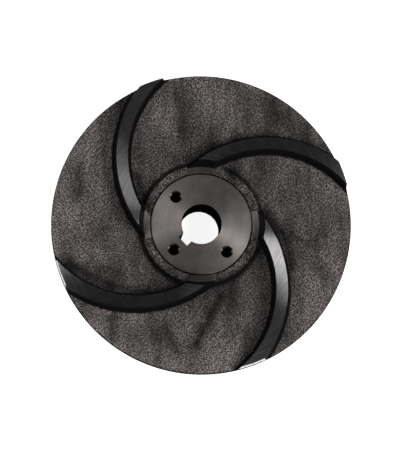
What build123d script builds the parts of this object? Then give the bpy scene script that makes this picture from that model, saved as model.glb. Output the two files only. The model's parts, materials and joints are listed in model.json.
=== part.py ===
"""Semi-open pump impeller: one iron casting, then turned, bored, keyed and tapped.

Frame: +Z runs along the bore and out of the vaned side, the origin is on the bore's axis at
the rear hub face, and +X runs through the middle of the keyway.
"""

import os
from math import acos, atan2, cos, degrees, radians, sin, tan

from build123d import *

# ---------------------------------------------------------------- driving dimensions, mm
# Overall, as turned
outer_diameter = 152.0  # shroud rim and vane tips, turned together
hub_length = 30.0  # rear hub face to the front pad
vane_rise = 9.0  # vane tops above the front pad

# Bore and keyway
bore_diameter = 20.0
bore_chamfer = 0.3
key_width = 6.0
key_depth = 2.8  # keyway floor beyond the bore's wall

# Tapped holes in the front pad
tapped_count = 3
tapped_spacing = 90.0  # degrees, with the middle hole in line with the keyway
tapped_web = 3.1  # keyway floor to the holes' mouths
tapped_diameter = 5.0  # tapping size of M6
tapped_depth = 11.0  # full diameter, before the drill point
tapped_mouth_width = 0.6  # countersink round each hole
tapped_mouth_angle = 90.0  # degrees
drill_point_angle = 118.0  # degrees

# Hub, each width going outwards from the one before
pad_margin = 3.4  # turned front pad beyond the tapped holes' mouths
pad_step = 0.6  # pad above the turned ledge round it
pad_chamfer = 0.3
relief_width = 0.5  # turned groove at the pad's foot
relief_depth = 0.5  # below the ledge
ledge_width = 3.8  # turned ledge, from the pad's wall
ledge_clearance = 0.1  # ledge above the hub's cast top
vane_wall_run = 2.7  # how far the vanes' turned inner ends lean out from the ledge
hub_flank_width = 3.4  # from the ledge out to the hub's foot on the shroud
hub_edge_round = 1.5
hub_foot_fillet = 4.5
boss_wall = 2.5  # rear boss beyond the tapped holes
boss_foot_chamfer = 4.0
boss_chamfer = 1.0

# Shroud
front_drop = 2.0  # front face below the pad
shroud_thickness = 4.5
rim_chamfer = 0.5  # back edge of the rim

# Vanes: each middle line is one arc, set by its angles to the circles it starts and ends on
vane_count = 4
vane_nose_inset = 1.3  # centres of the round inner ends, within the ledge's edge
vane_nose_angle = 34.4  # vane to the circle through those centres, degrees
vane_tip_angle = 28.1  # vane to the rim, degrees
vane_tip_position = 67.1  # first vane's tip, round from the keyway, degrees
vane_thickness = 5.8  # at the turned top
vane_draft = 3.0  # degrees, each flank
vane_root_fillet = 2.6
turning_allowance = 1.5  # cast metal beyond the turned rim and vane tops

# ---------------------------------------------------------------- radii and levels
rim_radius = outer_diameter / 2
cast_radius = rim_radius + turning_allowance
bore_radius = bore_diameter / 2
tapped_radius = tapped_diameter / 2
tapped_mouth_radius = tapped_radius + tapped_mouth_width
tapped_circle_radius = bore_radius + key_depth + tapped_web + tapped_mouth_radius
pad_radius = tapped_circle_radius + tapped_mouth_radius + pad_margin
relief_radius = pad_radius + relief_width
ledge_radius = pad_radius + ledge_width
vane_wall_radius = ledge_radius + vane_wall_run
hub_foot_radius = ledge_radius + hub_flank_width
nose_radius = ledge_radius - vane_nose_inset
boss_radius = tapped_circle_radius + tapped_radius + boss_wall

pad_level = hub_length
vane_top = pad_level + vane_rise
cast_top = vane_top + turning_allowance
ledge_level = pad_level - pad_step
relief_level = ledge_level - relief_depth
hub_top = ledge_level - ledge_clearance
shroud_front = pad_level - front_drop
shroud_back = shroud_front - shroud_thickness
vane_foot = shroud_front - shroud_thickness / 2

# ---------------------------------------------------------------- the vane's arc
# Its radius follows from the angles at both ends, and its centre from the tip
nose_reach = nose_radius * cos(radians(vane_nose_angle))
tip_reach = rim_radius * cos(radians(vane_tip_angle))
arc_radius = (rim_radius**2 - nose_radius**2) / (2 * (tip_reach - nose_reach))
tip = Vector(rim_radius, 0).rotate(Axis.Z, vane_tip_position)
arc_centre = tip - tip.normalized().rotate(Axis.Z, vane_tip_angle) * arc_radius


def arc_turn(radius):
    """Angle at the arc's centre from the bore's axis to the arc's point at a radius, degrees."""
    offset = arc_centre.length
    return degrees(acos((offset**2 + arc_radius**2 - radius**2) / (2 * offset * arc_radius)))


foot_thickness = vane_thickness + 2 * (vane_top - vane_foot) * tan(radians(vane_draft))
overrun = (turning_allowance + foot_thickness) / sin(radians(vane_tip_angle))  # past the tip
arc_start = degrees(atan2(arc_centre.Y, arc_centre.X)) + 180 - arc_turn(nose_radius)
arc_sweep = arc_turn(rim_radius) - arc_turn(nose_radius) + degrees(overrun / arc_radius)

# ---------------------------------------------------------------- corners of the cast section
boss_end = (boss_radius, 0)
boss_foot = (boss_radius, shroud_back)
hub_foot = (hub_foot_radius, shroud_front)
hub_edge = (ledge_radius + hub_edge_round / 2, hub_top)


def corner(sketch, point):
    """The sketch's corner at a point."""
    return sketch.vertices().sort_by_distance((*point, 0))[0]


with BuildPart() as impeller:
    # Hub, shroud and rear boss as cast
    with BuildSketch(Plane.XZ) as section:
        with BuildLine():
            Polyline(
                (0, 0),
                boss_end,
                boss_foot,
                (cast_radius, shroud_back),
                (cast_radius, shroud_front),
                hub_foot,
                hub_edge,
                (0, hub_top),
                close=True,
            )
        make_face()
        chamfer(corner(section, boss_end), boss_chamfer)
        chamfer(corner(section, boss_foot), boss_foot_chamfer)
        fillet(corner(section, hub_foot), hub_foot_fillet)
        fillet(corner(section, hub_edge), hub_edge_round)
    revolve()

    # Vanes as cast: a round nose on the hub, drafted flanks and an end past the rim
    with BuildSketch(Plane.XY.offset(vane_foot)):
        with PolarLocations(0, vane_count):
            middle_line = CenterArc(arc_centre, arc_radius, arc_start, -arc_sweep, mode=Mode.PRIVATE)
            SlotArc(middle_line, foot_thickness)
    extrude(amount=cast_top - vane_foot, taper=vane_draft)
    seams = impeller.edges(Select.NEW)
    roots = seams.filter_by(lambda edge: edge.bounding_box().min.Z > vane_foot + vane_thickness / 100)
    fillet(roots, vane_root_fillet)

    # Turning: the rim with the vane tips, the vane tops, and the recess within the vanes
    with BuildSketch(Plane.XZ):
        with BuildLine():
            Polyline(
                (0, pad_level),
                (pad_radius, pad_level),
                (pad_radius, relief_level),
                (relief_radius, relief_level),
                (relief_radius, ledge_level),
                (ledge_radius, ledge_level),
                (vane_wall_radius, vane_top),
                (rim_radius, vane_top),
                (rim_radius, 0),
                (2 * cast_radius, 0),
                (2 * cast_radius, 2 * cast_top),
                (0, 2 * cast_top),
                close=True,
            )
        make_face()
    revolve(mode=Mode.SUBTRACT)
    rim_circles = impeller.edges().filter_by(GeomType.CIRCLE).group_by(SortBy.RADIUS)[-1]
    chamfer(rim_circles.sort_by(Axis.Z)[0], rim_chamfer)

    # Front pad
    with BuildSketch(Plane.XY.offset(relief_level)):
        Circle(pad_radius)
    extrude(amount=pad_level - relief_level)
    pad_circles = impeller.edges(Select.LAST).filter_by(GeomType.CIRCLE)
    chamfer(pad_circles.sort_by(Axis.Z)[-1], pad_chamfer)

    # Bore and keyway
    Hole(bore_radius)
    chamfer(impeller.edges(Select.NEW).filter_by(GeomType.CIRCLE), bore_chamfer)
    with BuildSketch():
        Rectangle(bore_radius + key_depth, key_width, align=(Align.MIN, Align.CENTER))
    extrude(amount=hub_length, mode=Mode.SUBTRACT)

    # Tapped holes, ending in drill points
    tapped_span = (tapped_count - 1) * tapped_spacing
    point_height = tapped_radius / tan(radians(drill_point_angle / 2))
    with Locations(Plane.XY.offset(pad_level)):
        with PolarLocations(
            tapped_circle_radius, tapped_count, -tapped_span / 2, tapped_span, endpoint=True
        ):
            CounterSinkHole(tapped_radius, tapped_mouth_radius, tapped_depth, tapped_mouth_angle)
            with Locations((0, 0, -tapped_depth)):
                point_seat = (Align.CENTER, Align.CENTER, Align.MAX)
                Cone(0, tapped_radius, point_height, align=point_seat, mode=Mode.SUBTRACT)

impeller.part.label = "impeller"
os.makedirs("parts", exist_ok=True)
export_step(impeller.part, "parts/impeller.step")
print(f"impeller: {impeller.part.volume:.0f} mm3, vane arc radius {arc_radius:.1f} mm")
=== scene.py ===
"""Looks of the semi-open pump impeller: one iron casting, turned, bored, tapped and dip-coated.

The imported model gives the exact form. The visible piece is a merged copy of it, sorted into zones
by how each surface was made. Cast zones get the unevenness of a sand mould as real relief, the
tapped holes get their threads, and the turned faces stay true.
"""

import json
import logging
from dataclasses import dataclass
from enum import Enum
from math import atan2, cos, exp, radians, sin, tau
from typing import Any

import bmesh
import bpy
from mathutils import Matrix, Vector, kdtree, noise

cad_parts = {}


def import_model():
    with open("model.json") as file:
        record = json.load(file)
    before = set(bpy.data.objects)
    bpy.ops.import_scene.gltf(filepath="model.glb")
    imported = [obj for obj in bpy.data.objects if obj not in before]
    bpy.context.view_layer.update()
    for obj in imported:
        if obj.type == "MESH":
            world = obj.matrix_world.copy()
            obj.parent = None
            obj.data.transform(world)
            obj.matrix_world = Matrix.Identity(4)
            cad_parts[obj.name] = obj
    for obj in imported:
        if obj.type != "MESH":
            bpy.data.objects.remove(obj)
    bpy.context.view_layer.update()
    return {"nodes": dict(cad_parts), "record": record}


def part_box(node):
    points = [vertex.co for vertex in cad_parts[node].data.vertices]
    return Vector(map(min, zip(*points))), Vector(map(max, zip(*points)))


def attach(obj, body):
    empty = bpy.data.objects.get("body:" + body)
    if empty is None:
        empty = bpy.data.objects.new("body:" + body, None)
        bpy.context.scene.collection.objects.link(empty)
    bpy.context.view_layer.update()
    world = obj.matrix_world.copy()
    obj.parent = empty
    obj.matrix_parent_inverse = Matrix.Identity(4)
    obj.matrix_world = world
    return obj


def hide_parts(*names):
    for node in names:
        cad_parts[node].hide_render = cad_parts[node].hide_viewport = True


logging.basicConfig(level=logging.INFO, format="%(message)s")
log = logging.getLogger("impeller")

MM = 0.001
NODE = "impeller"
BODY = "root"
PIECE = "impeller_casting"
# Per-vertex painted shade and dark streaks on the cast skin
SHADE_AND_STREAKS = "painted_shade_and_streaks"
# Towards the light at the picture's bottom, in degrees from +X: painted shadow lies beside the walls on
# their sides away from it.
# The skin's blotches are stretched at the same angle.
BLOTCH_AND_LIGHT_ANGLE = 47.3


class Zone(Enum):
    """How a surface was made. The value is the index of its material."""

    CAST = 0
    FACED = 1
    TRIMMED = 2
    BORED = 3
    TAPPED = 4
    WALL = 5
    LEDGE = 6
    RIM = 7


def linear(hex_colour: str) -> tuple[float, float, float, float]:
    """An sRGB hex colour as linear RGBA.

    Args:
        hex_colour: Six hex digits.

    Returns:
        Linear red, green and blue, and an alpha of 1.
    """
    channels = [int(hex_colour[i : i + 2], 16) / 255 for i in (0, 2, 4)]
    decoded = [c / 12.92 if c <= 0.04045 else ((c + 0.055) / 1.055) ** 2.4 for c in channels]
    return (*decoded, 1.0)


def per_metre(size: float) -> float:
    """A texture's scale on coordinates in metres, from the size of its pattern in mm."""
    return 1 / (size * MM)


def share_of(value: float) -> float:
    """A value kept from 0 to 1."""
    return min(1.0, max(0.0, value))


def bell(distance: float, width: float) -> float:
    """A soft hump: 1 at no distance, and 0.37 at its width."""
    return exp(-((distance / width) ** 2))


# ---------------------------------------------------------------- finishes


class Graph:
    """A node tree with one way to add a node."""

    def __init__(self, owner: bpy.types.Material | bpy.types.World) -> None:
        """Empties the node tree of a material or world.

        Args:
            owner: The material or world.
        """
        owner.use_nodes = True
        self.tree = owner.node_tree
        self.tree.nodes.clear()

    def add(
        self, kind: str, inputs: dict[str | int, Any] | None = None, **settings: Any
    ) -> bpy.types.Node:
        """Adds a node.

        Args:
            kind: Node type, without its "ShaderNode" prefix.
            inputs: Each input's value, or the output socket that feeds it.
            **settings: The node's own properties.

        Returns:
            The new node.
        """
        node = self.tree.nodes.new("ShaderNode" + kind)
        for name, value in settings.items():
            setattr(node, name, value)
        for name, value in (inputs or {}).items():
            if isinstance(value, bpy.types.NodeSocket):
                self.tree.links.new(value, node.inputs[name])
            else:
                node.inputs[name].default_value = value
        return node


# The sockets of a Mix node that mixes colours
FACTOR, FIRST, SECOND, MIXED = 0, 6, 7, 2
# The range that most of a noise texture's values lie in
NOISE_LOW, NOISE_HIGH = 0.3, 0.7


@dataclass(frozen=True)
class CastSkin:
    """Sand-cast grey iron under a black dip coat.

    The mould's sand leaves a skin of fine grains. The thin coat settles between them, so their
    crests show pale and the hollows dark. Painted shade and dark streaks blend the skin towards the
    coat's black and make it duller. Real grains are too fine to show, so they are drawn about three
    times as coarse.
    Sizes are in mm.
    """

    name: str = "sand_cast_iron_black_dip_coat"
    hollow: str = "383534"
    crest: str = "968e8b"
    # The coat's black, which the painted shade and dark streaks blend the skin towards
    coat: str = "040404"
    grain: float = 1.0
    grain_depth: float = 0.25
    grain_roughness: float = 0.65
    fine_grain: float = 0.5
    fine_depth: float = 0.10
    bare_from: float = 1.02
    bare_to: float = 1.14
    blotch: float = 8.0
    blotch_stretch: float = 2.5
    blotch_low: float = 0.4
    blotch_high: float = 1.6
    blotch_and_light_angle: float = BLOTCH_AND_LIGHT_ANGLE
    rough_crest: float = 0.36
    rough_hollow: float = 0.62
    rough_shaded: float = 0.85
    shine: float = 0.12

    def material(self) -> bpy.types.Material:
        """Builds the material.

        Returns:
            The finished material.
        """
        made = bpy.data.materials.new(self.name)
        graph = Graph(made)
        place = graph.add("TexCoord").outputs["Object"]
        grain = graph.add(
            "TexNoise",
            {
                "Vector": place,
                "Scale": per_metre(self.grain),
                "Detail": 2.0,
                "Roughness": self.grain_roughness,
            },
        ).outputs["Fac"]
        fine = graph.add(
            "TexNoise", {"Vector": place, "Scale": per_metre(self.fine_grain), "Detail": 1.0}
        ).outputs["Fac"]
        drawn = graph.add(
            "Mapping",
            {
                "Vector": place,
                "Rotation": (0, 0, radians(self.blotch_and_light_angle)),
                "Scale": (self.blotch_stretch, 1, 1),
            },
            vector_type="TEXTURE",
        ).outputs[0]
        blotch = graph.add(
            "TexNoise", {"Vector": drawn, "Scale": per_metre(self.blotch), "Detail": 3.0}
        ).outputs["Fac"]
        speckle = graph.add("Math", {0: grain, 1: fine}, operation="ADD").outputs[0]
        height = graph.add(
            "MapRange", {"Value": speckle, "From Min": self.bare_from, "From Max": self.bare_to}
        )
        skin = graph.add(
            "Mix",
            {FACTOR: height.outputs[0], FIRST: linear(self.hollow), SECOND: linear(self.crest)},
            data_type="RGBA",
        )
        tone = graph.add(
            "MapRange",
            {
                "Value": blotch,
                "From Min": NOISE_LOW,
                "From Max": NOISE_HIGH,
                "To Min": self.blotch_low,
                "To Max": self.blotch_high,
            },
        )
        toned = graph.add(
            "VectorMath", {0: skin.outputs[MIXED], "Scale": tone.outputs[0]}, operation="SCALE"
        )
        # Painted shade and dark streaks, as a share: the skin is blended towards the coat's black by it
        # and made rougher there
        coat = graph.add("Attribute", attribute_name=SHADE_AND_STREAKS)
        colour = graph.add(
            "Mix",
            {FACTOR: coat.outputs["Fac"], FIRST: toned.outputs[0], SECOND: linear(self.coat)},
            data_type="RGBA",
        )
        rough = graph.add(
            "MapRange",
            {
                "Value": grain,
                "From Min": NOISE_LOW,
                "From Max": NOISE_HIGH,
                "To Min": self.rough_hollow,
                "To Max": self.rough_crest,
            },
        )
        dull = graph.add(
            "Math", {0: coat.outputs["Fac"], 1: self.rough_shaded}, operation="MULTIPLY"
        ).outputs[0]
        roughest = graph.add("Math", {0: rough.outputs[0], 1: dull}, operation="MAXIMUM")
        coarse = graph.add("Bump", {"Height": grain, "Distance": self.grain_depth * MM})
        bump = graph.add(
            "Bump",
            {"Height": fine, "Distance": self.fine_depth * MM, "Normal": coarse.outputs[0]},
        )
        shader = graph.add(
            "BsdfPrincipled",
            {
                "Base Color": colour.outputs[MIXED],
                "Roughness": roughest.outputs[0],
                "Specular IOR Level": self.shine,
                "Normal": bump.outputs[0],
            },
        )
        graph.add("OutputMaterial", {"Surface": shader.outputs[0]})
        return made


@dataclass(frozen=True)
class TurnedFace:
    """Iron turned on a lathe.

    The tool leaves fine rings round the bore's axis. They spread a reflection across the rings,
    so a lamp shows as two bright sectors, one each side of the bore, and the rest stays dark.
    The rings' longer flanks lean outwards, which favours the sector on the lamp's side. Real
    rings are too fine to show, so they are drawn a few times as coarse. Sizes are in mm.
    """

    name: str
    roughness: float
    anisotropy: float
    metallic: float
    lean: float
    dark: str
    light: str
    feed: float = 0.5
    feed_depth: float = 0.003
    chatter: float = 1.7
    chatter_depth: float = 0.004
    cloud: float = 6.0
    cloud_low: float = 0.15
    cloud_high: float = 0.35

    def material(self) -> bpy.types.Material:
        """Builds the material.

        Returns:
            The finished material.
        """
        made = bpy.data.materials.new(self.name)
        graph = Graph(made)
        place = graph.add("TexCoord").outputs["Object"]
        across = graph.add("VectorMath", {0: place, 1: (1, 1, 0)}, operation="MULTIPLY").outputs[0]
        radius = graph.add("VectorMath", {0: across}, operation="LENGTH").outputs["Value"]
        outwards = graph.add(
            "VectorTransform",
            {0: across},
            vector_type="NORMAL",
            convert_from="OBJECT",
            convert_to="WORLD",
        ).outputs[0]
        rings = graph.add(
            "TexNoise",
            {"W": radius, "Scale": per_metre(self.feed), "Detail": 2.0},
            noise_dimensions="1D",
        ).outputs["Fac"]
        waves = graph.add(
            "TexNoise",
            {"W": radius, "Scale": per_metre(self.chatter), "Detail": 0.0},
            noise_dimensions="1D",
        ).outputs["Fac"]
        cloud = graph.add(
            "TexNoise", {"Vector": place, "Scale": per_metre(self.cloud), "Detail": 3.0}
        ).outputs["Fac"]
        shade = graph.add("Math", {0: rings, 1: cloud}, operation="MULTIPLY")
        tone = graph.add(
            "MapRange",
            {"Value": shade.outputs[0], "From Min": self.cloud_low, "From Max": self.cloud_high},
        )
        colour = graph.add(
            "Mix",
            {FACTOR: tone.outputs[0], FIRST: linear(self.dark), SECOND: linear(self.light)},
            data_type="RGBA",
        )
        level = graph.add("NewGeometry").outputs["Normal"]
        tipped = graph.add(
            "VectorMath", {0: outwards, 1: (self.lean,) * 3, 2: level}, operation="MULTIPLY_ADD"
        ).outputs[0]
        flank = graph.add("VectorMath", {0: tipped}, operation="NORMALIZE").outputs[0]
        waved = graph.add(
            "Bump", {"Height": waves, "Distance": self.chatter_depth * MM, "Normal": flank}
        )
        ringed = graph.add(
            "Bump",
            {"Height": rings, "Distance": self.feed_depth * MM, "Normal": waved.outputs[0]},
        )
        shader = graph.add(
            "BsdfPrincipled",
            {
                "Base Color": colour.outputs[MIXED],
                "Roughness": self.roughness,
                "Metallic": self.metallic,
                "Anisotropic": self.anisotropy,
                "Tangent": outwards,
                "Normal": ringed.outputs[0],
            },
        )
        graph.add("OutputMaterial", {"Surface": shader.outputs[0]})
        return made


# The pad and ledges are faced before the casting is dipped, the vanes after it
FACED_HUB = TurnedFace(
    "faced_iron_thin_black_dip_coat",
    roughness=0.39,
    anisotropy=0.76,
    metallic=0.8,
    lean=0.03,
    dark="7b7775",
    light="8f8985",
)
FACED_LEDGES = TurnedFace(
    "faced_iron_ledges_thin_black_dip_coat",
    roughness=0.36,
    anisotropy=0.85,
    metallic=0.9,
    lean=0.0,
    dark="716d6b",
    light="837e7b",
)
TRIMMED_VANES = TurnedFace(
    "trimmed_bare_iron",
    roughness=0.28,
    anisotropy=1.0,
    metallic=1.0,
    lean=0.07,
    dark="727071",
    light="888687",
    feed=1.0,
)


@dataclass(frozen=True)
class CoatedWall:
    """Bored, tapped and turned walls and the rim, where the coat lies thick and looks black.

    In the threads it fills the corners, so its own surface turns up from the wall's and catches
    the light. Sizes are in mm.
    """

    name: str
    roughness: float
    shine: float
    colour: str = "0a0a0a"
    fill: float = 0.0
    feed: float = 0.3
    feed_depth: float = 0.006

    def material(self) -> bpy.types.Material:
        """Builds the material.

        Returns:
            The finished material.
        """
        made = bpy.data.materials.new(self.name)
        graph = Graph(made)
        place = graph.add("TexCoord").outputs["Object"]
        level = graph.add("SeparateXYZ", {0: place}).outputs["Z"]
        rings = graph.add(
            "TexNoise",
            {"W": level, "Scale": per_metre(self.feed), "Detail": 1.0},
            noise_dimensions="1D",
        )
        up = graph.add(
            "VectorTransform",
            {0: (0, 0, 1)},
            vector_type="NORMAL",
            convert_from="OBJECT",
            convert_to="WORLD",
        ).outputs[0]
        wall = graph.add("NewGeometry").outputs["Normal"]
        turned = graph.add(
            "VectorMath", {0: up, 1: (self.fill,) * 3, 2: wall}, operation="MULTIPLY_ADD"
        ).outputs[0]
        filled = graph.add("VectorMath", {0: turned}, operation="NORMALIZE").outputs[0]
        bump = graph.add(
            "Bump",
            {"Height": rings.outputs["Fac"], "Distance": self.feed_depth * MM, "Normal": filled},
        )
        shader = graph.add(
            "BsdfPrincipled",
            {
                "Base Color": linear(self.colour),
                "Roughness": self.roughness,
                "Specular IOR Level": self.shine,
                "Normal": bump.outputs[0],
            },
        )
        graph.add("OutputMaterial", {"Surface": shader.outputs[0]})
        return made


BORED_WALL = CoatedWall("bored_iron_black_dip_coat", roughness=0.9, shine=0.0)
TAPPED_HOLE = CoatedWall("tapped_iron_glossy_black_dip_coat", roughness=0.2, shine=0.3, fill=0.9)
TURNED_WALL = CoatedWall("turned_iron_black_dip_coat", roughness=0.5, shine=0.05, colour="080707")
TURNED_RIM = CoatedWall(
    "turned_iron_rim_matt_black_dip_coat", roughness=0.9, shine=0.0, colour="141414"
)

# In the order of the zones
FINISHES = (
    CastSkin(),
    FACED_HUB,
    TRIMMED_VANES,
    BORED_WALL,
    TAPPED_HOLE,
    TURNED_WALL,
    FACED_LEDGES,
    TURNED_RIM,
)


# ---------------------------------------------------------------- the casting


@dataclass
class Levels:
    """Radii and levels that tell the casting's surfaces apart, in mm.

    The last five are parts of a face's unit normal, from 0 to 1: the least upwards of a level
    face, the most upwards of a wall in the bore, the least inwards of the turned cone, the least
    outwards of the rim, and the least outwards and downwards of the rim's chamfer.
    """

    rim_radius: float
    vane_top: float
    bore_radius: float
    pad_level: float
    holes: list[Vector]
    hole_radius: float
    key_depth: float = 2.8
    ledge_step: float = 0.6
    ledge_radius: float = 29.3
    wall_run: float = 2.7
    relief_radius: float = 26.0
    relief_depth: float = 1.1
    mouth_width: float = 0.6
    shroud_drop: float = 2.0
    shroud_thickness: float = 4.5
    edge_break: float = 1.0
    chamfer: float = 0.3
    slack: float = 0.12
    cone_slack: float = 0.6
    level_up: float = 0.999
    bore_up: float = 0.9
    cone_inwards: float = 0.8
    rim_outwards: float = 0.97
    chamfer_outwards: float = 0.5

    @classmethod
    def of_record(cls, record: dict[str, Any]) -> "Levels":
        """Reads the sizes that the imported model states.

        Args:
            record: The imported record.

        Returns:
            The levels, with the rest at their own values.
        """
        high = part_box(NODE)[1] / MM
        mounts = {mount["name"]: mount for mount in record["mounts"]}
        tapped = [mount for mount in mounts.values() if mount["kind"] == "threaded_hole"]
        return cls(
            rim_radius=high.x,
            vane_top=high.z,
            bore_radius=mounts["bore"]["dims"]["r_mm"],
            pad_level=mounts["front_pad"]["pos_m"][2] / MM,
            holes=[Vector(mount["pos_m"]).xy / MM for mount in tapped],
            hole_radius=tapped[0]["dims"]["r_mm"],
        )

    @property
    def ledge_level(self) -> float:
        """Level of the turned ledges round the pad."""
        return self.pad_level - self.ledge_step

    @property
    def shroud_front(self) -> float:
        """Level of the shroud's vaned face."""
        return self.pad_level - self.shroud_drop

    @property
    def shroud_back(self) -> float:
        """Level of the shroud's rear face."""
        return self.shroud_front - self.shroud_thickness

    @property
    def bare_from(self) -> float:
        """Level above which the rim is bare: the vanes' trimmed ends."""
        return self.shroud_front + self.edge_break

    def near_hole(self, point: Vector) -> bool:
        """Whether a point is on a tapped hole's wall, countersink or drill point."""
        reach = self.hole_radius + self.mouth_width + self.slack
        return point.z < self.pad_level - self.slack and any(
            (point.xy - hole).length < reach for hole in self.holes
        )

    def on_inner_wall(self, point: Vector, outwards: float) -> bool:
        """Whether a point is on the turned cone within the vanes.

        Args:
            point: Centre of a face.
            outwards: How far the face's normal points away from the axis, from -1 to 1.

        Returns:
            Whether it is.
        """
        height = (point.z - self.ledge_level) / (self.vane_top - self.ledge_level)
        gap = abs(point.xy.length - self.ledge_radius - self.wall_run * height)
        return outwards < -self.cone_inwards and height > 0 and gap < self.cone_slack

    def on_rim(self, radius: float, outwards: float, upwards: float) -> bool:
        """Whether a point is on the turned rim, the vanes' outer ends or the rim's chamfer.

        Args:
            radius: The point's distance from the axis.
            outwards: How far the face's normal points away from the axis, from -1 to 1.
            upwards: How far the face's normal points up, from -1 to 1.

        Returns:
            Whether it is.
        """
        chamfer = outwards > self.chamfer_outwards and upwards < -self.chamfer_outwards
        return radius > self.rim_radius - self.edge_break and (outwards > self.rim_outwards or chamfer)

    def zone(self, point: Vector, normal: Vector) -> Zone:
        """Tells how the surface at a point was made.

        Args:
            point: Centre of a face, in mm.
            normal: The face's normal.

        Returns:
            The surface's zone.
        """
        radius = point.xy.length
        outwards = normal.xy.dot(point.xy) / max(radius, self.slack)
        if radius < self.bore_radius + self.key_depth + self.slack and abs(normal.z) < self.bore_up:
            return Zone.BORED
        if point.z < self.edge_break:
            return Zone.FACED
        if self.near_hole(point):
            return Zone.TAPPED
        level = normal.z > self.level_up
        if level and abs(point.z - self.pad_level) < self.slack / 2:
            return Zone.FACED
        if level and abs(point.z - self.ledge_level) < self.slack / 2:
            return Zone.LEDGE
        if radius < self.relief_radius + self.slack and point.z > self.pad_level - 2 * self.relief_depth:
            chamfered = point.z > self.pad_level - self.chamfer
            return Zone.FACED if chamfered else Zone.BORED
        if self.on_inner_wall(point, outwards):
            return Zone.WALL
        if level and abs(point.z - self.vane_top) < self.slack / 2:
            return Zone.TRIMMED
        if self.on_rim(radius, outwards, normal.z):
            return Zone.TRIMMED if point.z > self.bare_from else Zone.RIM
        return Zone.CAST


@dataclass
class SandRelief:
    """Unevenness that the sand mould leaves in the casting, as displacement in mm."""

    swell: float = 18.0
    swell_depth: float = 0.16
    peel: float = 4.0
    peel_depth: float = 0.06
    grit: float = 1.6
    grit_depth: float = 0.045

    def at(self, point: Vector) -> float:
        """Height of the skin over its nominal place at a point in mm."""
        return (
            self.swell_depth * noise.noise(point / self.swell)
            + self.peel_depth * noise.noise(point / self.peel)
            + self.grit_depth * noise.noise(point / self.grit)
        )


@dataclass(frozen=True)
class DarkStreak:
    """A soft dark streak on the cast skin. Places and sizes are in mm."""

    start: tuple[float, float]
    end: tuple[float, float]
    width: float
    strength: float
    raggedness: float = 0.4

    def at(self, point: Vector) -> float:
        """How strong the streak is at a point.

        Args:
            point: A place on the skin, in mm.

        Returns:
            Its share of the darkening, from 0 to 1.
        """
        start = Vector(self.start)
        along = Vector(self.end) - start
        share = (point.xy - start).dot(along) / along.length_squared
        gap = (point.xy - start - along * share_of(share)).length / self.width
        ragged = gap + self.raggedness * noise.noise(point / self.width)
        return self.strength * exp(-ragged * abs(ragged))


DARK_STREAKS = (
    DarkStreak((-38.1, -56.9), (-24.5, -38.6), 4.0, 0.55),
    DarkStreak((-64.1, -30.2), (-72.1, 0.1), 6.0, 0.5),
    DarkStreak((17.7, 33.1), (42.6, 42.7), 3.2, 0.85),
    DarkStreak((65.6, 4.3), (72.2, 12.1), 2.8, 0.7),
    DarkStreak((53.6, -19.9), (50.9, -15.4), 3.0, 0.5),
    DarkStreak((49.0, 25.1), (53.2, 39.2), 3.0, 0.5),
    DarkStreak((-30.4, 34.3), (-32.6, 43.2), 4.5, 0.5),
    DarkStreak((-30.8, 54.1), (-27.1, 61.8), 3.5, 0.5),
    DarkStreak((9.1, 32.8), (15.2, 42.4), 5.5, 0.65),
    DarkStreak((-62.9, -16.4), (-68.2, 0.3), 5.0, 0.35),
    DarkStreak((48.3, 39.1), (53.6, 50.2), 4.5, 0.45),
    DarkStreak((-28.7, 17.4), (-27.0, 29.7), 3.0, 0.7),
    DarkStreak((-41.8, 30.9), (-38.2, 40.0), 4.0, 0.3),
    DarkStreak((-26.1, 34.5), (-18.6, 47.0), 2.2, 0.75),
    DarkStreak((63.1, -31.4), (54.7, -8.4), 3.2, 0.8),
    DarkStreak((54.7, -8.4), (43.2, 8.4), 2.6, 0.6),
    DarkStreak((7.1, -40.3), (13.8, -25.6), 2.8, 0.75),
    DarkStreak((-12.9, -38.7), (-11.8, -28.6), 3.5, 0.45),
)


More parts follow.
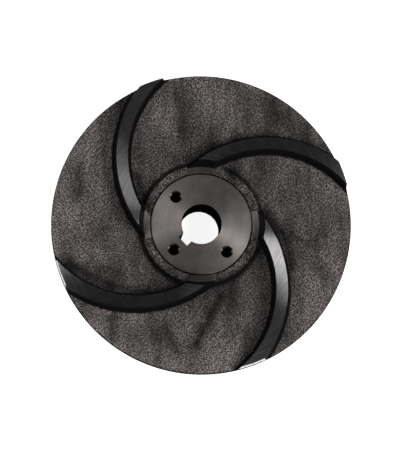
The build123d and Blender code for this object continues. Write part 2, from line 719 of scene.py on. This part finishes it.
@dataclass
class ShadeAndStreaks:
    """Painted shade and dark streaks on the cast skin, as shares from 0 to 1.

    It is painted shade on steep walls and at their feet, painted shadow beside the walls on their sides
    away from the light at the picture's bottom, painted shade in the passages, darkest at the hub's
    reach, and round the foot of the hub, most on one side, and single soft dark streaks. Sizes are in
    mm, angles in degrees.
    """

    levels: Levels
    blotch_and_light_angle: float = BLOTCH_AND_LIGHT_ANGLE
    lean_start: float = 0.012
    lean_full: float = 0.12
    steep: float = 0.5
    margin: float = 0.5
    reach_above: float = 3.0
    foot_width: float = 1.6
    foot_share: float = 0.6
    shadow_width: float = 4.0
    shadow_share: float = 0.85
    hub_reach: float = 33.5
    hub_width: float = 34.0
    hub_share: float = 0.48
    under_share: float = 0.95
    under_angle: float = 17.3
    under_gap: float = 2.0
    under_width: float = 1.8
    under_wrap: float = 0.7
    all_streaks: tuple[DarkStreak, ...] = DARK_STREAKS

    def store(self, mesh: bpy.types.Mesh) -> None:
        """Stores the painted shade and dark streaks at each vertex.

        Args:
            mesh: The casting's mesh.
        """
        towards_light = self.direction(self.blotch_and_light_angle)
        walls = self.steep_walls(mesh)
        tree = kdtree.KDTree(len(walls))
        for index, wall in enumerate(walls):
            tree.insert(wall.co, index)
        tree.balance()
        values = mesh.attributes.new(SHADE_AND_STREAKS, "FLOAT", "POINT")
        for vert in mesh.vertices:
            point = vert.co / MM
            # Painted shade on steep walls, growing as the face turns from level
            lean = 1 - abs(vert.normal.z)
            shares = [(lean - self.lean_start) / (self.lean_full - self.lean_start)]
            if self.levels.shroud_back < point.z < self.levels.pad_level + self.reach_above:
                _, nearest, gap = tree.find(vert.co)
                facing_away = max(0.0, -walls[nearest].normal.dot(towards_light))
                hub_gap = abs(point.xy.length - self.hub_reach)
                # Painted shade in the corners at the walls' feet, and painted shadow beside the walls on
                # their sides away from the light
                shares.append(self.foot_share * bell(gap / MM, self.foot_width))
                shares.append(self.shadow_share * facing_away * bell(gap / MM, self.shadow_width))
                # Painted shade in the passages, darkest at the hub's reach
                shares.append(self.hub_share * (1 - hub_gap / self.hub_width))
                # Soft dark streaks
                shares.extend(one_streak.at(point) for one_streak in self.all_streaks)
                # Painted shade round the foot of the hub, most on one side
                shares.append(self.hub_foot_shade(point))
            # The share left without painted shade or dark streaks
            bare = 1.0
            for share in shares:
                bare *= 1 - share_of(share)
            values.data[vert.index].value = 1 - bare

    def steep_walls(self, mesh: bpy.types.Mesh) -> list[bpy.types.MeshVertex]:
        """The vanes' flanks, whose feet get painted shade.

        Args:
            mesh: The casting's mesh.

        Returns:
            The vertices on them.
        """
        levels = self.levels
        return [
            vert
            for vert in mesh.vertices
            if abs(vert.normal.z) < self.steep
            and levels.shroud_front + self.margin < vert.co.z / MM < levels.vane_top
            and levels.ledge_radius < vert.co.xy.length / MM < levels.rim_radius - self.margin
        ]

    def direction(self, angle: float) -> Vector:
        """The direction at an angle from +X, in the impeller's plane."""
        return Vector((cos(radians(angle)), sin(radians(angle)), 0))

    def hub_foot_shade(self, point: Vector) -> float:
        """The painted shade round the foot of the hub, most on one side.

        Args:
            point: A place on the skin, in mm.

        Returns:
            The share.
        """
        radius = point.xy.length
        ring = bell(radius - self.levels.ledge_radius - self.under_gap, self.under_width)
        facing = point.dot(self.direction(self.under_angle)) / radius
        return self.under_share * ring * share_of(self.under_wrap + facing)


@dataclass
class Casting:
    """The impeller's one piece of iron: its mesh, relief, threads and finishes.

    Sizes are in mm, angles in degrees. Parts of a face's unit normal are from 0 to 1:
    flat_up is the least upwards of a flat cast face, and flank_up and hole_up are the most
    upwards of a vane's flank and of a tapped wall.
    """

    levels: Levels
    relief: SandRelief
    front_pitch: float = 0.85
    rear_pitch: float = 1.8
    flank_pitch: float = 1.2
    thread_pitch: float = 1.0
    thread_depth: float = 0.54
    thread_mouth: float = 0.3
    thread_flank: float = 1.6
    thread_crest: float = 0.4
    steps_per_thread: int = 6
    sharp_angle: float = 32.0
    flat_angle: float = 0.05
    flat_up: float = 0.9999
    flank_up: float = 0.2
    hole_up: float = 0.1
    hole_slack: float = 0.1
    wall_slack: float = 0.1275
    weld: float = 0.001
    on_plane: float = 0.01
    least_turn: float = 0.2

    def build(self, node: bpy.types.Object) -> bpy.types.Object:
        """Makes the finished piece.

        Args:
            node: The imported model's own object, which is only read.

        Returns:
            The visible object, riding on its body.
        """
        mesh = bpy.data.meshes.new(PIECE)
        bm = bmesh.new()
        bm.from_mesh(node.data)
        bmesh.ops.remove_doubles(bm, verts=bm.verts, dist=self.weld * MM)
        self.part_rim(bm)
        self.sort_zones(bm)
        self.merge_flat_skin(bm)
        self.refine(bm)
        self.roughen(bm)
        self.cut_threads(bm)
        self.mark_edges(bm)
        bm.to_mesh(mesh)
        bm.free()
        # Painted shade and dark streaks, stored per vertex for the cast skin's colour
        ShadeAndStreaks(self.levels).store(mesh)
        for finish in FINISHES:
            mesh.materials.append(finish.material())
        piece = bpy.data.objects.new(PIECE, mesh)
        bpy.context.scene.collection.objects.link(piece)
        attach(piece, BODY)
        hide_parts(NODE)
        return piece

    def faces_of(self, bm: bmesh.types.BMesh, zone: Zone) -> list[bmesh.types.BMFace]:
        """The faces of one zone."""
        return [face for face in bm.faces if face.material_index == zone.value]

    def with_edges(
        self, faces: list[bmesh.types.BMFace]
    ) -> list[bmesh.types.BMVert | bmesh.types.BMEdge | bmesh.types.BMFace]:
        """Faces with their vertices and edges, each once and always in the same order.

        Args:
            faces: The faces.

        Returns:
            Their vertices, their edges, and the faces.
        """
        verts = dict.fromkeys(vert for face in faces for vert in face.verts)
        edges = dict.fromkeys(edge for face in faces for edge in face.edges)
        return [*verts, *edges, *faces]

    def part_rim(self, bm: bmesh.types.BMesh) -> None:
        """Cuts the rim's tall triangles at the level where the vanes' bare ends begin.

        Args:
            bm: The casting.
        """
        near = (self.levels.rim_radius - self.levels.edge_break) * MM
        rim = [face for face in bm.faces if all(vert.co.xy.length > near for vert in face.verts)]
        bmesh.ops.bisect_plane(
            bm,
            geom=self.with_edges(rim),
            dist=self.on_plane * MM,
            plane_co=(0, 0, self.levels.bare_from * MM),
            plane_no=(0, 0, 1),
        )

    def sort_zones(self, bm: bmesh.types.BMesh) -> None:
        """Gives each face the material of its zone.

        Args:
            bm: The casting.
        """
        bm.normal_update()
        for face in bm.faces:
            zone = self.levels.zone(face.calc_center_median() / MM, face.normal)
            face.material_index = zone.value

    def merge_flat_skin(self, bm: bmesh.types.BMesh) -> None:
        """Joins the triangles of the shroud's flat cast faces, so that they can be cut evenly.

        Args:
            bm: The casting.
        """
        flat = {face for face in self.faces_of(bm, Zone.CAST) if abs(face.normal.z) > self.flat_up}
        inner = [
            edge
            for edge in bm.edges
            if len(edge.link_faces) == 2 and all(face in flat for face in edge.link_faces)
        ]
        bmesh.ops.dissolve_limit(bm, angle_limit=radians(self.flat_angle), verts=[], edges=inner)

    def slice(
        self, bm: bmesh.types.BMesh, faces: list[bmesh.types.BMFace], axis: int, pitch: float
    ) -> None:
        """Cuts faces by evenly spaced planes.

        Args:
            bm: The casting.
            faces: The faces to cut.
            axis: 0, 1 or 2 for planes across X, Y or Z.
            pitch: Distance between the planes, in mm.
        """
        places = [vert.co[axis] for face in faces for vert in face.verts]
        across = Vector([float(i == axis) for i in range(3)])
        start, step = min(places), pitch * MM
        geometry = self.with_edges(faces)
        for cut in range(int((max(places) - start) / step) + 1):
            plane = across * (start + (cut + 0.5) * step)
            done = bmesh.ops.bisect_plane(
                bm, geom=geometry, dist=self.on_plane * MM, plane_co=plane, plane_no=across
            )
            geometry = done["geom"]

    def refine(self, bm: bmesh.types.BMesh) -> None:
        """Cuts the cast skin into small faces that can carry the relief.

        Args:
            bm: The casting.
        """
        middle = (self.levels.shroud_front + self.levels.shroud_back) / 2 * MM

        def skin(front: bool) -> list[bmesh.types.BMFace]:
            """The cast faces in front of or behind the shroud's middle."""
            cast = self.faces_of(bm, Zone.CAST)
            return [face for face in cast if (face.calc_center_median().z > middle) is front]

        for axis in (0, 1):
            self.slice(bm, skin(front=True), axis, self.front_pitch)
            self.slice(bm, skin(front=False), axis, self.rear_pitch)
        flanks = [face for face in self.faces_of(bm, Zone.CAST) if abs(face.normal.z) < self.flank_up]
        self.slice(bm, flanks, 2, self.flank_pitch)

    def roughen(self, bm: bmesh.types.BMesh) -> None:
        """Moves the cast skin by the relief. Where it meets a turned face, it moves along that face.

        Args:
            bm: The casting.
        """
        bm.normal_update()
        moves = []
        for vert in bm.verts:
            cast = [face for face in vert.link_faces if face.material_index == Zone.CAST.value]
            if not cast:
                continue
            outwards = sum((face.normal * face.calc_area() for face in cast), Vector()).normalized()
            move = outwards * self.relief.at(vert.co / MM) * MM
            kept: list[Vector] = []
            for face in vert.link_faces:
                if face.material_index != Zone.CAST.value:
                    rest = face.normal.copy()
                    for normal in kept:
                        rest -= normal * rest.dot(normal)
                    if rest.length > self.least_turn:
                        kept.append(rest.normalized())
            for normal in kept:
                move -= normal * move.dot(normal)
            moves.append((vert, move))
        for vert, move in moves:
            vert.co += move
        bm.normal_update()

    def cut_threads(self, bm: bmesh.types.BMesh) -> None:
        """Cuts the thread into each tapped hole's wall, fading at its bottom and its mouth.

        Args:
            bm: The casting.
        """
        radius = self.levels.hole_radius * MM
        for hole in self.levels.holes:
            centre = hole * MM
            wall = [
                face
                for face in self.faces_of(bm, Zone.TAPPED)
                if abs(face.normal.z) < self.hole_up
                and (face.calc_center_median().xy - centre).length < radius + self.hole_slack * MM
            ]
            self.slice(bm, wall, 2, self.thread_pitch / self.steps_per_thread)
            turned = [
                vert
                for vert in bm.verts
                if abs((vert.co.xy - centre).length - radius) < self.wall_slack * MM
            ]
            low = min(vert.co.z for vert in turned)
            high = max(vert.co.z for vert in turned)
            for vert in turned:
                arm = vert.co.xy - centre
                turn = (vert.co.z / MM / self.thread_pitch - atan2(arm.y, arm.x) / tau) % 1.0
                wave = 1 - abs(2 * turn - 1)
                depth = share_of(self.thread_flank * wave - self.thread_crest)
                from_bottom = (vert.co.z - low) / (self.thread_pitch * MM)
                from_mouth = (high - vert.co.z) / (self.thread_mouth * MM)
                ends = min(1.0, from_bottom, from_mouth)
                grown = arm.normalized() * self.thread_depth * MM * depth * ends
                vert.co.xy += grown
        bm.normal_update()

    def mark_edges(self, bm: bmesh.types.BMesh) -> None:
        """Shades faces smooth, with sharp edges between zones and at true corners.

        Args:
            bm: The casting.
        """
        limit = radians(self.sharp_angle)
        for face in bm.faces:
            face.smooth = True
        for edge in bm.edges:
            zones = {face.material_index for face in edge.link_faces}
            edge.smooth = len(zones) == 1 and edge.calc_face_angle(0.0) < limit


# ---------------------------------------------------------------- floor, lamps and camera


@dataclass
class Picture:
    """How the impeller lies in the picture: turned in its plane, and tilted a little.

    Lengths are in mm, angles in degrees, and picture places in pixels.
    """

    width: int = 400
    height: int = 450
    pad_level: float = 30.0
    pad_x: float = 201.4
    pad_y: float = 224.3
    pixels_per_mm: float = 1.9755
    turn: float = 222.7
    tilt: float = 7.66
    tilt_towards: float = 68.9
    distance: float = 5000.0
    sensor: float = 36.0

    def towards(self, azimuth: float, elevation: float) -> Vector:
        """A direction in the model, from where it points in the picture.

        Args:
            azimuth: Angle in the picture from its right side, anticlockwise.
            elevation: Angle above the impeller's plane.

        Returns:
            A unit vector.
        """
        turn, rise = radians(azimuth - self.turn), radians(elevation)
        return Vector((cos(turn) * cos(rise), sin(turn) * cos(rise), sin(rise)))

    def axes(self) -> tuple[Vector, Vector, Vector]:
        """Works out how the camera is turned.

        Returns:
            Its right, up and backward directions in the model.
        """
        back = self.towards(self.tilt_towards + 180, 90 - self.tilt)
        lean = radians(self.tilt_towards)
        along = self.towards(self.tilt_towards, self.tilt)
        side = self.towards(self.tilt_towards + 90, 0)
        right = along * cos(lean) - side * sin(lean)
        up = along * sin(lean) + side * cos(lean)
        return right, up, back

    def camera(self) -> None:
        """Adds the camera."""
        data = bpy.data.cameras.new("camera")
        data.sensor_width = self.sensor
        data.lens = self.pixels_per_mm * self.distance * self.sensor / self.height
        right, up, back = self.axes()
        pad = Vector((0, 0, self.pad_level))
        aside = right * (self.width / 2 - self.pad_x) + up * (self.pad_y - self.height / 2)
        place = (pad + aside / self.pixels_per_mm + back * self.distance) * MM
        camera = bpy.data.objects.new("camera", data)
        bpy.context.scene.collection.objects.link(camera)
        turned = Matrix((right, up, back)).transposed().to_4x4()
        camera.matrix_world = Matrix.Translation(place) @ turned
        data.clip_end = 2 * self.distance * MM
        bpy.context.scene.camera = camera


@dataclass(frozen=True)
class Softbox:
    """A rectangular studio lamp that points at the impeller.

    Lengths are in metres, angles in degrees, and the power in watts.
    """

    name: str
    azimuth: float
    elevation: float
    distance: float
    width: float
    height: float
    power: float
    colour: str = "ffffff"

    def light(self, picture: Picture) -> None:
        """Adds the lamp.

        Args:
            picture: How the impeller lies in the picture.
        """
        data = bpy.data.lights.new(self.name, "AREA")
        data.shape = "RECTANGLE"
        data.size, data.size_y = self.width, self.height
        data.energy = self.power
        data.color = linear(self.colour)[:3]
        lamp = bpy.data.objects.new(self.name, data)
        bpy.context.scene.collection.objects.link(lamp)
        direction = picture.towards(self.azimuth, self.elevation)
        lamp.location = direction * self.distance
        lamp.rotation_mode = "QUATERNION"
        lamp.rotation_quaternion = direction.to_track_quat("Z", "Y")


SOFTBOXES = (
    Softbox(
        "key_softbox", azimuth=-12.5, elevation=52, distance=0.75, width=0.20, height=0.35, power=2.7
    ),
    Softbox(
        "left_softbox", azimuth=178, elevation=52, distance=0.75, width=0.12, height=0.35, power=1.25
    ),
    Softbox(
        "front_panel", azimuth=-75, elevation=35, distance=0.9, width=0.7, height=0.5, power=1.6
    ),
)


@dataclass
class Studio:
    """A white floor, a room with pale walls and a dim ceiling, and softboxes.

    Lengths are in metres, angles in degrees.
    """

    picture: Picture
    softboxes: tuple[Softbox, ...] = SOFTBOXES
    floor_size: float = 8.0
    floor_colour: str = "e6e6e6"
    floor_glow: float = 0.9
    walls: str = "cbcbcb"
    ceiling: str = "3c3c3c"
    wall_top: float = 34.0
    wall_fade: float = 12.0

    def build(self) -> None:
        """Adds floor, room and lamps, and sets the plain view transform."""
        self.floor()
        self.room()
        for softbox in self.softboxes:
            softbox.light(self.picture)
            log.info("lamp %s", softbox.name)
        bpy.context.scene.view_settings.view_transform = "Standard"

    def floor(self) -> None:
        """Adds the floor, white to the eye and in reflections, and pale where it is in shade."""
        mesh = bpy.data.meshes.new("floor")
        bm = bmesh.new()
        bmesh.ops.create_grid(bm, x_segments=1, y_segments=1, size=self.floor_size / 2)
        bm.to_mesh(mesh)
        bm.free()
        material = bpy.data.materials.new("white_floor")
        graph = Graph(material)
        path = graph.add("LightPath").outputs
        direct = graph.add(
            "Math", {0: path["Is Camera Ray"], 1: path["Is Glossy Ray"]}, operation="MAXIMUM"
        )
        seen = graph.add(
            "Math", {0: direct.outputs[0], 1: path["Is Transmission Ray"]}, operation="MAXIMUM"
        )
        glow = graph.add("Math", {0: seen.outputs[0], 1: self.floor_glow}, operation="MULTIPLY")
        white = graph.add("BsdfDiffuse", {"Color": linear(self.floor_colour)})
        shine = graph.add("Emission", {"Strength": glow.outputs[0]})
        both = graph.add("AddShader", {0: white.outputs[0], 1: shine.outputs[0]})
        graph.add("OutputMaterial", {"Surface": both.outputs[0]})
        mesh.materials.append(material)
        floor = bpy.data.objects.new("floor", mesh)
        bpy.context.scene.collection.objects.link(floor)

    def room(self) -> None:
        """Sets the world: pale walls to just above the horizon, and a dim ceiling."""
        world = bpy.data.worlds.new("room")
        graph = Graph(world)
        towards = graph.add("TexCoord").outputs["Generated"]
        height = graph.add("SeparateXYZ", {0: towards}).outputs["Z"]
        rise = graph.add(
            "MapRange",
            {
                "Value": height,
                "From Min": sin(radians(self.wall_top - self.wall_fade)),
                "From Max": sin(radians(self.wall_top)),
            },
            interpolation_type="SMOOTHSTEP",
        )
        colour = graph.add(
            "Mix",
            {FACTOR: rise.outputs[0], FIRST: linear(self.walls), SECOND: linear(self.ceiling)},
            data_type="RGBA",
        )
        background = graph.add("Background", {"Color": colour.outputs[MIXED]})
        graph.add("OutputWorld", {"Surface": background.outputs[0]})
        bpy.context.scene.world = world


def main() -> None:
    """Builds the impeller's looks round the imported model."""
    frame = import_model()
    picture = Picture()
    picture.camera()
    Studio(picture).build()
    levels = Levels.of_record(frame["record"])
    casting = Casting(levels, SandRelief()).build(frame["nodes"][NODE])
    mesh = casting.data
    mesh.calc_loop_triangles()
    log.info("%s: %d faces, %d triangles", casting.name, len(mesh.polygons), len(mesh.loop_triangles))


if __name__ == "__main__":
    main()
